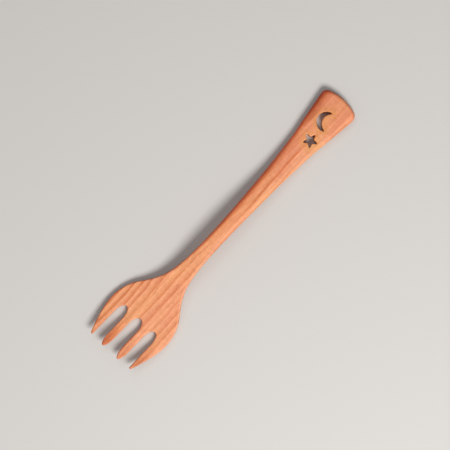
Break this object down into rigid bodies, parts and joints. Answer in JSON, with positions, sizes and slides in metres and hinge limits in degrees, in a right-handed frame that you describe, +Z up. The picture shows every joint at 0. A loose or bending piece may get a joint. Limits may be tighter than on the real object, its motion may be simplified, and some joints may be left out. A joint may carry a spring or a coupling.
{
  "type": "wooden serving fork",
  "caption": "Flat carved wooden serving fork with slotted tines, an arched neck and a flared handle pierced by a crescent and a star.",
  "frame": {"origin": "under the middle of the fork's box, on the surface that it rests on", "axes": "+Y from the tine tips to the handle end, +X across the fork, +Z up from the back to the face of the fork"},
  "size_m": [0.0654, 0.305, 0.0197],
  "materials": {
    "oiled_wood": "smooth sanded and oiled reddish cherry, satin sheen, grain along the handle"
  },
  "bodies": {
    "root": {"carved_fork": "oiled_wood"}
  },
  "joints": []
}
